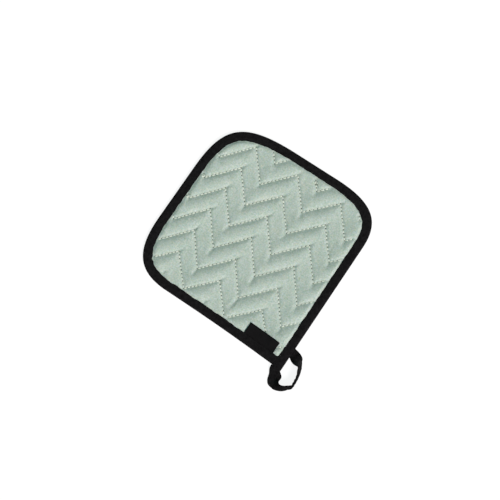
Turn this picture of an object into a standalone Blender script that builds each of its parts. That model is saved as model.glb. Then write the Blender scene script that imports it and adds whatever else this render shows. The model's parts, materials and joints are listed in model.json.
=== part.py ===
"""Quilted pot holder, lying flat.

A square pad of two cloths with padding between them, sewn through in rows of
chevrons, with a bias binding folded over its edge. The binding's end runs on past
one corner as a twisted hanging loop, and a bare woven label is tucked under it.

The part lies in its own frame: +Z up, the table at z = 0, and the origin at the
middle of the pad's underside. The sides run along X and Y, and the loop hangs at
the +X -Y corner. Sizes below are in millimetres and are turned into metres once,
where the meshes are made.
"""

from collections import namedtuple
from math import ceil, cos, pi, radians, sin

import bmesh
import bpy
from mathutils import Vector
from mathutils.geometry import interpolate_bezier, intersect_point_line

MM = 0.001
GAP = 0.3                   # between pieces that touch

# The pad's outline. Each rounded corner is one curve that starts `back` before the
# corner and ends `on` after it; `full` is how far its handles reach into the corner.
# The binding's width is given at each corner and halfway along the side that follows,
# with `bow`, how far that side is drawn in at its middle.
Corner = namedtuple("Corner", "name x y back on full width width_on bow")
CORNERS = (
    Corner("loop",        101.4, -104.5,  0.0,  0.0, 0.00, 10.8, 10.7, 0.0),
    Corner("back right",  101.2,  104.5, 47.8, 64.8, 0.72, 11.1,  9.6, 0.0),
    Corner("back left",   -99.1,   99.8, 83.5, 71.2, 0.79, 10.5, 10.2, 0.0),
    Corner("front left", -103.5, -100.5, 60.8, 49.7, 0.71, 10.9, 10.4, 1.1),
)
CORNER_STEPS = 11           # stretches in a rounded corner
SIDE_STEP = 16.0            # longest stretch along a straight side

# The pad and its padding.
SEAM_TOP = 4.5              # upper cloth where it is sewn down
SEAM_BOTTOM = 1.0           # lower cloth where it is drawn up
CROWN = 3.0                 # rise of a channel over its seams
HALF_CHANNEL = 9.5          # seam to the middle of a channel
FLAT_FROM = 3.4             # past this far from a seam the underside lies flat
EDGE_RISE = 9.0             # the crown's run-up from the binding

# The chevron seams, one row for each zigzag line, from the back to the front: where
# its middle peak and the valley to the right of it are. Columns repeat along X.
SeamRow = namedtuple("SeamRow", "row peak_x peak_y valley_x valley_y")
SEAM_ROWS = (
    SeamRow(4,    1.5,  139.5,  26.4,  108.0),
    SeamRow(3,    0.0,  111.5,  25.2,   79.6),
    SeamRow(2,   -1.8,   83.1,  24.3,   51.8),
    SeamRow(1,   -2.8,   54.7,  23.2,   23.3),
    SeamRow(0,   -4.8,   26.8,  21.7,   -5.5),
    SeamRow(-1,  -6.2,   -1.7,  20.3,  -35.0),
    SeamRow(-2,  -7.5,  -31.0,  18.6,  -64.2),
    SeamRow(-3,  -8.7,  -59.9,  18.2,  -91.0),
    SeamRow(-4,  -9.8,  -88.5,  17.6, -119.5),
    SeamRow(-5, -11.0, -117.5,  16.8, -148.5),
)
COLUMN_PITCH = 55.4         # peak to peak
COLUMN_STRETCH = 0.65       # the pitch widens towards +X
FAN_ROW = 2                 # this row runs along X; the others turn from it
FAN_TURN = 0.28
FAN_BEND = 0.12
FIRST_COLUMN = -2
LAST_COLUMN = 2
LEG_STEPS = 5               # mesh cells along one leg of a zigzag
ACROSS = (0.0, 0.06, 0.20, 0.50, 0.80, 0.94)  # mesh lines across one channel

# The binding: a tape folded over the edge, with a rounded fold at the rim.
BINDING_PLY = 1.0
BINDING_HEIGHT = 5.2
BINDING_WALL = 1.3          # rim to the pad's own edge, less the gap
BINDING_ROUND = 1.9

# The loop: the tape's free end, from the corner to where it is sewn under the right
# side. `tilt` is how far the tape is turned up from lying flat, its inner edge
# highest, and `lift` how far it is held off the table.
TAPE_THICKNESS = 1.8
LoopSection = namedtuple("LoopSection", "x y width tilt lift")
LOOP_SECTIONS = (
    LoopSection(95.6, -104.8, 11.8,  0.0, 1.6),
    LoopSection(97.2, -109.6, 12.9,  0.0, 0.9),
    LoopSection(99.7, -114.8, 13.2,  4.0, 0.3),
    LoopSection(102.8, -118.9, 12.0, 14.0, 0.0),
    LoopSection(107.2, -121.1, 11.8, 36.0, 0.0),
    LoopSection(111.3, -121.0, 11.8, 56.0, 0.0),
    LoopSection(114.8, -119.4, 11.8, 69.0, 0.0),
    LoopSection(118.2, -116.7, 11.8, 78.0, 0.0),
    LoopSection(121.0, -113.6, 11.8, 86.0, 0.0),
    LoopSection(121.6, -109.0, 11.8, 89.0, 0.0),
    LoopSection(121.2, -103.5, 11.8, 89.0, 0.0),
    LoopSection(120.0, -98.0, 11.8, 87.0, 0.0),
    LoopSection(117.8, -92.8, 11.8, 76.0, 0.0),
    LoopSection(115.0, -89.2, 11.8, 60.0, 0.0),
    LoopSection(111.7, -86.4, 11.8, 36.0, 0.0),
    LoopSection(107.3, -84.2, 11.8, 12.0, 0.3),
    LoopSection(101.7, -82.7, 11.8,  0.0, 0.6),
)
LOOP_STEPS = 2              # stretches between two sections

# The label: a bare woven tab that lies over the quilting, against the binding.
LABEL_WIDTH = 38.5
LABEL_X = 64.1              # middle of its free edge
LABEL_Y = -78.9
LABEL_TURN = -1.9           # degrees
LABEL_THICKNESS = 1.0
LABEL_SPAN = 2.5            # it bridges what dips within this distance
LABEL_STEPS_ALONG = 12
LABEL_STEPS_DOWN = 4

GREEN_CLOTH = (0.41, 0.50, 0.43, 1.0)
BLACK_TAPE = (0.011, 0.011, 0.012, 1.0)
BLACK_LABEL = (0.010, 0.010, 0.011, 1.0)


def clear_scene():
    for item in list(bpy.data.objects):
        bpy.data.objects.remove(item, do_unlink=True)


def make_material(name, colour, roughness):
    material = bpy.data.materials.new(name)
    material.use_nodes = True
    shader = material.node_tree.nodes["Principled BSDF"]
    shader.inputs["Base Color"].default_value = colour
    shader.inputs["Roughness"].default_value = roughness
    shader.inputs["Metallic"].default_value = 0.0
    return material


def make_collection(name):
    collection = bpy.data.collections.new(name)
    bpy.context.scene.collection.children.link(collection)
    return collection


def object_from(bm, name, collection):
    """Turn a mesh in millimetres into an object in metres."""
    bmesh.ops.scale(bm, vec=(MM, MM, MM), verts=bm.verts)
    bmesh.ops.recalc_face_normals(bm, faces=bm.faces)
    mesh = bpy.data.meshes.new(name)
    bm.to_mesh(mesh)
    bm.free()
    item = bpy.data.objects.new(name, mesh)
    collection.objects.link(item)
    return item


def loft(sections, closed=False):
    """Skin over sections of equal point count; an open loft is capped at both ends."""
    bm = bmesh.new()
    rings = [[bm.verts.new(point) for point in section] for section in sections]
    count = len(rings[0])
    pairs = list(zip(rings, rings[1:]))
    if closed:
        pairs.append((rings[-1], rings[0]))
    for ring, following in pairs:
        for k in range(count):
            m = (k + 1) % count
            bm.faces.new((ring[k], ring[m], following[m], following[k]))
    if not closed:
        bm.faces.new(rings[0])
        bm.faces.new(rings[-1])
    return bm


# --- the outline ---------------------------------------------------------------

def ease(t):
    return 0.5 - 0.5 * cos(pi * min(max(t, 0.0), 1.0))


def corner_curve(corner, before, after):
    """The points of one rounded corner, or the corner itself where it is sharp."""
    tip = Vector((corner.x, corner.y))
    if corner.back == 0.0:
        return [tip]
    to_before = (Vector((before.x, before.y)) - tip).normalized()
    to_after = (Vector((after.x, after.y)) - tip).normalized()
    start = tip + to_before * corner.back
    end = tip + to_after * corner.on
    start_handle = tip + to_before * corner.back * (1.0 - corner.full)
    end_handle = tip + to_after * corner.on * (1.0 - corner.full)
    count = CORNER_STEPS + 1
    return [point.to_2d() for point in
            interpolate_bezier(start, start_handle, end_handle, end, count)]


def outline_stations():
    """Points round the pad, counter-clockwise, each with its binding width."""
    stations = []
    curves = [corner_curve(corner, CORNERS[k - 1], CORNERS[(k + 1) % len(CORNERS)])
              for k, corner in enumerate(CORNERS)]
    for k, corner in enumerate(CORNERS):
        following = CORNERS[(k + 1) % len(CORNERS)]
        tip = Vector((corner.x, corner.y))
        side = Vector((following.x, following.y)) - tip
        stretch = curves[k][len(curves[k]) // 2:]
        start = curves[k][-1]
        end = curves[(k + 1) % len(CORNERS)][0]
        pieces = ceil((end - start).length / SIDE_STEP)
        drawn_in = Vector((-side.y, side.x)).normalized() * corner.bow
        stretch += [start.lerp(end, n / pieces) + drawn_in * sin(pi * n / pieces)
                    for n in range(1, pieces)]
        next_curve = curves[(k + 1) % len(CORNERS)]
        stretch += next_curve[:len(next_curve) // 2]
        for point in stretch:
            along = (point - tip).dot(side) / side.length_squared
            if along < 0.5:
                width = corner.width + (corner.width_on - corner.width) * ease(2.0 * along)
            else:
                width = corner.width_on + (following.width - corner.width_on) * ease(2.0 * along - 1.0)
            stations.append((point, width))
    return stations


def inward_offsets(points):
    """The direction into the pad at each point, longer where two sides are mitred."""
    offsets = []
    for k, point in enumerate(points):
        arriving = (point - points[k - 1]).normalized()
        leaving = (points[(k + 1) % len(points)] - point).normalized()
        normal = Vector((-arriving.y, arriving.x)) + Vector((-leaving.y, leaving.x))
        normal.normalize()
        half_turn_cosine = normal.dot(Vector((-arriving.y, arriving.x)))
        offsets.append(normal / half_turn_cosine)
    return offsets


STATIONS = outline_stations()
OUTLINE = [point for point, width in STATIONS]
WIDTHS = [width for point, width in STATIONS]
INWARD = inward_offsets(OUTLINE)


def inner_edge(extra=0.0):
    return [point + inward * (width + extra)
            for point, inward, width in zip(OUTLINE, INWARD, WIDTHS)]


def distance_to_segment(point, start, end):
    foot, fraction = intersect_point_line(point, start, end)
    if fraction <= 0.0:
        return (point - start).length
    if fraction >= 1.0:
        return (point - end).length
    return (point - foot.to_2d()).length


def is_inside(point, polygon):
    inside = False
    for k, corner in enumerate(polygon):
        previous = polygon[k - 1]
        if (corner.y > point.y) != (previous.y > point.y):
            crossing = (previous.x - corner.x) * (point.y - corner.y) / (previous.y - corner.y)
            if point.x < corner.x + crossing:
                inside = not inside
    return inside


# --- the quilting --------------------------------------------------------------

def place_in_row(row, column, x, y):
    fan = (row - FAN_ROW) * (FAN_TURN * column - FAN_BEND * column * column)
    return Vector((x + COLUMN_PITCH * column + COLUMN_STRETCH * column * column, y + fan))


def zigzag(seam_row):
    """The corners of one seam row from -X to +X: a peak, a valley, a peak and so on."""
    corners = []
    for column in range(FIRST_COLUMN, LAST_COLUMN + 1):
        corners.append(place_in_row(seam_row.row, column, seam_row.peak_x, seam_row.peak_y))
        corners.append(place_in_row(seam_row.row, column, seam_row.valley_x, seam_row.valley_y))
    return corners[:-1]


ZIGZAGS = [zigzag(seam_row) for seam_row in SEAM_ROWS]
SEAMS = [leg for corners in ZIGZAGS for leg in zip(corners, corners[1:])]
BINDING_EDGE = inner_edge()


def seam_distance(point):
    return min(distance_to_segment(point, start, end) for start, end in SEAMS)


def binding_distance(point):
    """How far a point lies inside the binding's inner edge, or 0 under the binding."""
    if not is_inside(point, BINDING_EDGE):
        return 0.0
    return min(distance_to_segment(point, BINDING_EDGE[k - 1], BINDING_EDGE[k])
               for k in range(len(BINDING_EDGE)))


def swelling(distance, reach):
    """0 at a seam and 1 from `reach` on, steepest at the seam."""
    left = 1.0 - min(distance / reach, 1.0)
    return 1.0 - left * left


def cloth_heights(point):
    """The heights of the lower and the upper cloth over one point of the pad."""
    from_seam = seam_distance(point)
    from_binding = binding_distance(point)
    top = SEAM_TOP + CROWN * swelling(from_seam, HALF_CHANNEL) * swelling(from_binding, EDGE_RISE)
    drawn_up = max(1.0 - from_seam / FLAT_FROM, 1.0 - from_binding / FLAT_FROM, 0.0)
    return SEAM_BOTTOM * drawn_up * drawn_up, top


def grid_place(across, along):
    """The plan position of a grid point, counted in mesh lines from the back left."""
    channel, line = divmod(across, len(ACROSS))
    leg, step = divmod(along, LEG_STEPS)
    if channel == len(ZIGZAGS) - 1:
        channel, share = channel - 1, 1.0
    else:
        share = ACROSS[line]
    if leg == len(ZIGZAGS[0]) - 1:
        leg, step = leg - 1, LEG_STEPS
    back = ZIGZAGS[channel][leg].lerp(ZIGZAGS[channel][leg + 1], step / LEG_STEPS)
    front = ZIGZAGS[channel + 1][leg].lerp(ZIGZAGS[channel + 1][leg + 1], step / LEG_STEPS)
    return back.lerp(front, share)


def quilted_slab(collection):
    """Both cloths over a grid that follows the seams, larger than the pad all round."""
    across_lines = (len(ZIGZAGS) - 1) * len(ACROSS)
    along_lines = (len(ZIGZAGS[0]) - 1) * LEG_STEPS
    bm = bmesh.new()
    bmesh.ops.create_grid(bm, x_segments=along_lines, y_segments=across_lines, size=1.0)
    upper = {}
    for vert in bm.verts:
        along = round((vert.co.x + 1.0) / 2.0 * along_lines)
        across = round((1.0 - vert.co.y) / 2.0 * across_lines)
        place = grid_place(across, along)
        bottom, top = cloth_heights(place)
        vert.co = (place.x, place.y, bottom)
        upper[(vert.co.x, vert.co.y)] = top
    extruded = bmesh.ops.extrude_face_region(bm, geom=bm.faces[:])
    for part in extruded["geom"]:
        if isinstance(part, bmesh.types.BMVert):
            part.co.z = upper[(part.co.x, part.co.y)]
    return object_from(bm, "quilted_pad", collection)


def binding_pocket(collection):
    """The space that the binding leaves for the pad, with room above and below it."""
    floor = BINDING_PLY + GAP
    ceiling = BINDING_HEIGHT - BINDING_PLY - GAP
    rim = BINDING_WALL + GAP
    below, above = -10.0, 20.0
    inner = [(point.x, point.y) for point in inner_edge(GAP)]
    outer = [tuple(point + inward * rim) for point, inward in zip(OUTLINE, INWARD)]
    levels = ((inner, below), (inner, floor), (outer, floor),
              (outer, ceiling), (inner, ceiling), (inner, above))
    bm = loft([[(x, y, z) for x, y in ring] for ring, z in levels])
    pocket = object_from(bm, "binding_pocket", collection)
    pocket.hide_render = True
    pocket.display_type = "WIRE"
    return pocket


def build_pad(collection, cutters, material):
    pad = quilted_slab(collection)
    trim = pad.modifiers.new("trim to the binding", "BOOLEAN")
    trim.operation = "INTERSECT"
    trim.solver = "EXACT"
    trim.object = binding_pocket(cutters)
    pad.data.materials.append(material)
    pad.data.shade_smooth()
    return pad


# --- the binding ---------------------------------------------------------------

def binding_section(width):
    """The folded tape cut across: pairs of distance from the rim and height."""
    top, ply = BINDING_HEIGHT, BINDING_PLY
    inside = BINDING_WALL
    soft = 0.3 * BINDING_ROUND
    return (
        (width, 0.0),
        (BINDING_ROUND, 0.0),
        (soft, soft),
        (0.0, BINDING_ROUND),
        (0.0, top - BINDING_ROUND),
        (soft, top - soft),
        (BINDING_ROUND, top),
        (width, top),
        (width, top - ply),
        (inside, top - ply),
        (inside, ply),
        (width, ply),
    )


def build_binding(collection, material):
    sections = []
    for point, inward, width in zip(OUTLINE, INWARD, WIDTHS):
        sections.append([(point.x + inward.x * depth, point.y + inward.y * depth, height)
                         for depth, height in binding_section(width)])
    binding = object_from(loft(sections, closed=True), "edge_binding", collection)
    binding.data.materials.append(material)
    binding.data.shade_smooth()
    binding.data.set_sharp_from_angle(angle=radians(50.0))
    return binding


# --- the loop ------------------------------------------------------------------

def between(a, b, c, d, t):
    """A smooth curve from b to c that passes them in the directions of a and d."""
    return 0.5 * (2.0 * b + (c - a) * t + (2.0 * a - 5.0 * b + 4.0 * c - d) * t * t
                  + (3.0 * b - a - 3.0 * c + d) * t * t * t)


def smooth_sections(rows, steps):
    smooth = []
    last = len(rows) - 1
    for k in range(last):
        around = [rows[min(max(n, 0), last)] for n in (k - 1, k, k + 1, k + 2)]
        for step in range(steps):
            t = step / steps
            smooth.append(LoopSection(*(between(*values, t) for values in zip(*around))))
    smooth.append(rows[last])
    return smooth


def tape_section(section, heading):
    """The tape cut across at one place: eight points round a thin soft-edged strip."""
    tilt = radians(section.tilt)
    left = Vector((-heading.y, heading.x, 0.0))
    across = left * cos(tilt) + Vector((0.0, 0.0, sin(tilt)))
    up = Vector((0.0, 0.0, cos(tilt))) - left * sin(tilt)
    half = section.width / 2.0
    thick = TAPE_THICKNESS / 2.0
    height = half * sin(tilt) + thick * abs(cos(tilt)) + max(section.lift, 0.0)
    centre = Vector((section.x, section.y, height))
    soft = thick / 2.0
    edge_round = ((half, -soft), (half, soft), (half - soft, thick), (-half + soft, thick),
                  (-half, soft), (-half, -soft), (-half + soft, -thick), (half - soft, -thick))
    return [centre + across * a + up * b for a, b in edge_round]


def build_loop(collection, material):
    rows = smooth_sections(LOOP_SECTIONS, LOOP_STEPS)
    sections = []
    for k, row in enumerate(rows):
        if k == 0:
            heading = Vector((0.0, -1.0))
        elif k == len(rows) - 1:
            heading = Vector((-1.0, 0.0))
        else:
            heading = Vector((rows[k + 1].x - rows[k - 1].x, rows[k + 1].y - rows[k - 1].y))
            heading.normalize()
        sections.append(tape_section(row, heading))
    loop = object_from(loft(sections), "hanging_loop", collection)
    loop.data.materials.append(material)
    loop.data.shade_smooth()
    loop.data.set_sharp_from_angle(angle=radians(50.0))
    return loop


# --- the label -----------------------------------------------------------------

def label_depth(x):
    """How far the label reaches down to the binding's inner edge at one x."""
    front = min(y for y in (edge_height(x, k) for k in range(len(BINDING_EDGE))) if y is not None)
    return front + GAP


def edge_height(x, k):
    """Where the binding's inner edge crosses a line of constant x, if it does."""
    start, end = BINDING_EDGE[k - 1], BINDING_EDGE[k]
    if (start.x - x) * (end.x - x) > 0.0 or start.x == end.x:
        return None
    return start.y + (end.y - start.y) * (x - start.x) / (end.x - start.x)


def label_height(point):
    around = [Vector((LABEL_SPAN * cos(k * pi / 4.0), LABEL_SPAN * sin(k * pi / 4.0)))
              for k in range(8)]
    return max(cloth_heights(point + step)[1] for step in around) + GAP


def build_label(collection, material):
    turn = radians(LABEL_TURN)
    sections = []
    for column in range(LABEL_STEPS_ALONG + 1):
        aside = LABEL_WIDTH * (column / LABEL_STEPS_ALONG - 0.5)
        free = Vector((LABEL_X + aside * cos(turn), LABEL_Y + aside * sin(turn)))
        tucked = Vector((free.x, label_depth(free.x)))
        line = [free.lerp(tucked, n / LABEL_STEPS_DOWN) for n in range(LABEL_STEPS_DOWN + 1)]
        heights = [label_height(point) for point in line]
        under = [(point.x, point.y, z) for point, z in zip(line, heights)]
        over = [(point.x, point.y, z + LABEL_THICKNESS) for point, z in zip(line, heights)]
        sections.append(under + over[::-1])
    label = object_from(loft(sections), "label", collection)
    label.data.materials.append(material)
    label.data.shade_smooth()
    label.data.set_sharp_from_angle(angle=radians(50.0))
    return label


def main():
    clear_scene()
    parts = make_collection("pot_holder")
    cutters = make_collection("pot_holder_cutters")
    cloth = make_material("green cotton", GREEN_CLOTH, 0.95)
    tape = make_material("black cotton tape", BLACK_TAPE, 0.9)
    woven = make_material("black woven label", BLACK_LABEL, 0.75)
    build_pad(parts, cutters, cloth)
    build_binding(parts, tape)
    build_loop(parts, tape)
    build_label(parts, woven)


main()
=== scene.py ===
"""The looks of a quilted pot holder that lies flat, seen from straight above.

The pad is two green cloths over padding. A cloth simulation blows the upper one up
between its sewn rows of chevrons, and the creases at the chevrons' corners are placed
one by one. Thread, black bias binding, twisted loop and bare label are modelled on it.

Lengths are millimetres in the part's own frame: +Z up, the table at z = 0, the loop at
the +X -Y corner. They become metres in object_from().
"""

import json
from collections import namedtuple
from math import ceil, cos, pi, radians, sin

import bpy
import numpy as np
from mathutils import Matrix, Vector, noise
from mathutils.bvhtree import BVHTree
from mathutils.kdtree import KDTree
from mathutils.geometry import delaunay_2d_cdt, interpolate_bezier

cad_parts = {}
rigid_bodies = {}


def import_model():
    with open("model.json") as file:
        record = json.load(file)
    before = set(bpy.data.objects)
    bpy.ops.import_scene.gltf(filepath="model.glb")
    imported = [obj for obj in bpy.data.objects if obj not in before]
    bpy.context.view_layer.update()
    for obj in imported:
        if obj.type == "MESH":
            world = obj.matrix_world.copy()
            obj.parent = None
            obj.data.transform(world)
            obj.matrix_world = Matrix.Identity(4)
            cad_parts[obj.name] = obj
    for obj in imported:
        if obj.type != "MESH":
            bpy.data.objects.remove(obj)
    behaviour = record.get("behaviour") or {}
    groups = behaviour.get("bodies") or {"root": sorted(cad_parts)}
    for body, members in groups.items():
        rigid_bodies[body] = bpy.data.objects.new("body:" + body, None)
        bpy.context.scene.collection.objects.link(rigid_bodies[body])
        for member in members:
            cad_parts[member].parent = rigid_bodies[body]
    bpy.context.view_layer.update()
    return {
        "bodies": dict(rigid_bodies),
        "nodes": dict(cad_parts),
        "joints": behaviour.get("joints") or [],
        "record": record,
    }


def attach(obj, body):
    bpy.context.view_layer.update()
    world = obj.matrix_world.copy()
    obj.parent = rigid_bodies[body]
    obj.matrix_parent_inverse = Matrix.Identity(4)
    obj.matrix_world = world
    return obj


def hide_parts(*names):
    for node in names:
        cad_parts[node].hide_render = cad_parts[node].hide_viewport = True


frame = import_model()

MM = 0.001


def table(name, columns, *rows):
    """Rows of numbers with named columns."""
    row_type = namedtuple(name, columns)
    return tuple(row_type(*row) for row in rows)


def mix(first, second, share):
    return first + (second - first) * share


# --- sizes shared with the part ---

# Each rounded corner starts `back` before the corner and ends `on` after it; `full` is
# how far its handles reach in. `width` is the binding's at the corner and `width_on`
# halfway along the side that follows; `bow` draws that side in at its middle.
CORNERS = table(
    "Corner", "x y back on full width width_on bow",
    (101.4, -104.5, 0.0, 0.0, 0.0, 10.8, 10.7, 0.0),        # at the loop
    (101.2, 104.5, 47.8, 64.8, 0.72, 11.1, 9.6, 0.0),       # back right
    (-99.1, 99.8, 83.5, 71.2, 0.79, 10.5, 10.2, 0.0),       # back left
    (-103.5, -100.5, 60.8, 49.7, 0.71, 10.9, 10.4, 1.1),    # front left
)
CORNER_STEPS = 48           # stretches in a rounded corner
SIDE_STEP = 2.4             # longest stretch along a straight side

SEAM_TOP = 4.5              # upper cloth where it is sewn down
SEAM_BOTTOM = 1.0           # lower cloth where it is drawn up
CROWN = 3.0                 # rise of a channel over its seams
HALF_CHANNEL = 9.5          # seam to the middle of a channel
FLAT_FROM = 3.4             # past this far from a seam the underside lies flat

# The chevron seams from the back to the front: each zigzag's middle peak and the valley
# to the right of it. Columns repeat along X.
SEAM_ROWS = table(
    "SeamRow", "row peak_x peak_y valley_x valley_y",
    (4,    1.5,  139.5,  26.4,  108.0),
    (3,    0.0,  111.5,  25.2,   79.6),
    (2,   -1.8,   83.1,  24.3,   51.8),
    (1,   -2.8,   54.7,  23.2,   23.3),
    (0,   -4.8,   26.8,  21.7,   -5.5),
    (-1,  -6.2,   -1.7,  20.3,  -35.0),
    (-2,  -7.5,  -31.0,  18.6,  -64.2),
    (-3,  -8.7,  -59.9,  18.2,  -91.0),
    (-4,  -9.8,  -88.5,  17.6, -119.5),
    (-5, -11.0, -117.5,  16.8, -148.5),
)
COLUMN_PITCH = 55.4         # peak to peak
COLUMN_STRETCH = 0.65       # the pitch widens towards +X
FAN_ROW = 2                 # this row runs along X; the others turn from it
FAN_TURN = 0.28             # by this much for each row and column away
FAN_BEND = 0.12             # and they bend towards their ends
FIRST_COLUMN = -2
LAST_COLUMN = 2
# The row that goes under the label ends out of line, pulled by the binding beside it.
PULLED_ROW = -3
PULLED_CORNERS = ((74.2, -89.6), (91.5, -81.0))

BINDING_WALL = 1.3          # the folded tape's thickness at the rim
GAP = 0.3                   # from there to the pad's own edge
LOWEST = 0.02               # cloth just clear of the table

LABEL_WIDTH = 38.5
LABEL_X = 64.1              # middle of its free edge
LABEL_Y = -78.9
LABEL_TURN = -1.9           # degrees

# --- the camera and the light ---

PHOTO_TURN = 33.8           # degrees from the part's +X to the photograph's right
VIEW_X, VIEW_Y = 0.3, -13.8
VIEW_WIDTH = 546.65         # the photograph's side at the table
LENS = 85.0
SENSOR = 36.0


# --- meshes ---

def new_object(name, data):
    item = bpy.data.objects.new(name, data)
    bpy.context.scene.collection.objects.link(item)
    return item


def object_from(name, points, faces, material):
    """A smooth-shaded object in metres from points in millimetres."""
    mesh = bpy.data.meshes.new(name)
    mesh.from_pydata([tuple(point) for point in np.asarray(points) * MM], [], faces)
    mesh.validate()
    mesh.shade_smooth()
    mesh.materials.append(material)
    return new_object(name, mesh)


def loft_faces(rings, count):
    """Quads between successive rings of points, with a cap at each end."""
    last = (rings - 1) * count
    faces = [(ring + k, ring + (k + 1) % count, ring + count + (k + 1) % count, ring + count + k)
             for ring in range(0, last, count) for k in range(count)]
    return faces + [tuple(range(count))[::-1], tuple(range(last, last + count))]


def places_of(mesh):
    return np.array([tuple(vertex.co) for vertex in mesh.vertices])


def evaluated(item):
    """The object as its modifiers make it."""
    return item.evaluated_get(bpy.context.evaluated_depsgraph_get())


def add_attribute(item, name, values):
    """One number for each point, for a material."""
    attribute = item.data.attributes.new(name, "FLOAT", "POINT")
    attribute.data.foreach_set("value", np.asarray(values, np.float32))


def add_uv_map(item, name, places):
    """A UV map from one place for each point."""
    corners = [corner.vertex_index for corner in item.data.loops]
    layer = item.data.uv_layers.new(name=name)
    layer.data.foreach_set("uv", places[corners].astype(np.float32).ravel())


def unit(vectors):
    return vectors / np.linalg.norm(vectors, axis=-1, keepdims=True)


def turned_left(vectors):
    return np.stack([-vectors[..., 1], vectors[..., 0]], axis=-1)


def distance_to(points, starts, ends):
    """Each point's distance to the nearest of some segments."""
    nearest = np.full(len(points), np.inf)
    for start, end in zip(starts, ends):
        side = end - start
        share = np.clip((points - start) @ side / (side @ side), 0.0, 1.0)
        away = np.linalg.norm(points - start - share[:, None] * side, axis=1)
        nearest = np.minimum(nearest, away)
    return nearest


def is_inside(points, ring):
    inside = np.zeros(len(points), bool)
    for a, b in zip(ring, np.roll(ring, 1, axis=0)):
        if a[1] == b[1]:
            continue
        straddled = (a[1] > points[:, 1]) != (b[1] > points[:, 1])
        crossing = a[0] + (b[0] - a[0]) * (points[:, 1] - a[1]) / (b[1] - a[1])
        inside ^= straddled & (points[:, 0] < crossing)
    return inside


def depth_inside(points, ring):
    """How far each point lies inside a ring, negative outside it."""
    away = distance_to(points, ring, np.roll(ring, -1, axis=0))
    return np.where(is_inside(points, ring), away, -away)


# --- the outline ---

def ease(t):
    return 0.5 - 0.5 * cos(pi * min(max(t, 0.0), 1.0))


def corner_curve(corner, before, after):
    """The points of one rounded corner, or the corner itself where it is sharp."""
    tip = Vector((corner.x, corner.y))
    if corner.back == 0.0:
        return [tip]
    to_before = (Vector((before.x, before.y)) - tip).normalized()
    to_after = (Vector((after.x, after.y)) - tip).normalized()
    start = tip + to_before * corner.back
    end = tip + to_after * corner.on
    start_handle = tip + to_before * corner.back * (1.0 - corner.full)
    end_handle = tip + to_after * corner.on * (1.0 - corner.full)
    return [point.to_2d() for point in
            interpolate_bezier(start, start_handle, end_handle, end, CORNER_STEPS + 1)]


def outline_stations():
    """Points round the pad, counter-clockwise, each with its binding width."""
    count = len(CORNERS)
    curves = [corner_curve(corner, CORNERS[k - 1], CORNERS[(k + 1) % count])
              for k, corner in enumerate(CORNERS)]
    stations = []
    for k, corner in enumerate(CORNERS):
        following, next_curve = CORNERS[(k + 1) % count], curves[(k + 1) % count]
        tip = Vector((corner.x, corner.y))
        side = Vector((following.x, following.y)) - tip
        start, end = curves[k][-1], next_curve[0]
        pieces = ceil((end - start).length / SIDE_STEP)
        drawn_in = Vector((-side.y, side.x)).normalized() * corner.bow
        stretch = curves[k][len(curves[k]) // 2:]
        stretch += [start.lerp(end, n / pieces) + drawn_in * sin(pi * n / pieces)
                    for n in range(1, pieces)]
        stretch += next_curve[:len(next_curve) // 2]
        for point in stretch:
            halves = 2.0 * (point - tip).dot(side) / side.length_squared
            if halves < 1.0:
                width = mix(corner.width, corner.width_on, ease(halves))
            else:
                width = mix(corner.width_on, following.width, ease(halves - 1.0))
            stations.append((point, width))
    return stations


def inward_offsets(ring):
    """The direction into the pad at each point, longer where two sides are mitred."""
    arriving = turned_left(unit(ring - np.roll(ring, 1, axis=0)))
    leaving = np.roll(arriving, -1, axis=0)
    normal = unit(arriving + leaving)
    return normal / (normal * arriving).sum(axis=1, keepdims=True)


# Where the binding's inner edge bulges into the pad or, below 0, is drawn back from it.
EDGE_TUCKS = table(
    "EdgeTuck", "x y inward half_width",
    (-75.8,  77.3, -0.5, 2.5), (-80.6,  75.0,  0.3, 2.0), (-90.5, -12.8,  0.5, 2.6),
    (-91.8,  -7.0, -0.3, 2.0), (-83.1, -80.6, -0.9, 1.6), (-51.0, -91.0, -0.5, 1.6),
    (-47.0, -91.0,  0.3, 2.0),
)
# It strays from its even width in waves.
EDGE_WAVES = table(
    "EdgeWave", "height length phase",
    (0.14, 4.6, 0.7), (0.13, 2.3, 2.1), (0.12, 1.45, 4.0),
)


def edge_wave(along):
    return sum(wave.height * np.sin(along / wave.length + wave.phase) for wave in EDGE_WAVES)


def run_lengths(points):
    """How far along a line each of its points is."""
    return np.concatenate([[0.0], np.cumsum(np.linalg.norm(np.diff(points, axis=0), axis=1))])


def tucked_in(widths):
    """The binding's widths with its edge's tucks."""
    edge = OUTLINE + INWARD * widths[:, None]
    for tuck in EDGE_TUCKS:
        away = np.linalg.norm(edge - (tuck.x, tuck.y), axis=1)
        widths = widths + tuck.inward * np.exp(-(away / tuck.half_width) ** 2)
    return widths


STATIONS = outline_stations()
OUTLINE = np.array([tuple(point) for point, width in STATIONS])
INWARD = inward_offsets(OUTLINE)
EVEN_WIDTHS = np.array([width for point, width in STATIONS])
WIDTHS = tucked_in(EVEN_WIDTHS + edge_wave(run_lengths(OUTLINE)))
BINDING_EDGE = OUTLINE + INWARD * WIDTHS[:, None]
RIM = OUTLINE + INWARD * (BINDING_WALL + GAP)


# --- the seams ---

STITCH = 3.85               # the shortest there are; a whole leg has LEG_STITCHES
LEG_STITCHES = 10


def place_in_row(row, column, x, y):
    fan = (row - FAN_ROW) * (FAN_TURN * column - FAN_BEND * column * column)
    return np.array((x + COLUMN_PITCH * column + COLUMN_STRETCH * column * column, y + fan))


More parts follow.
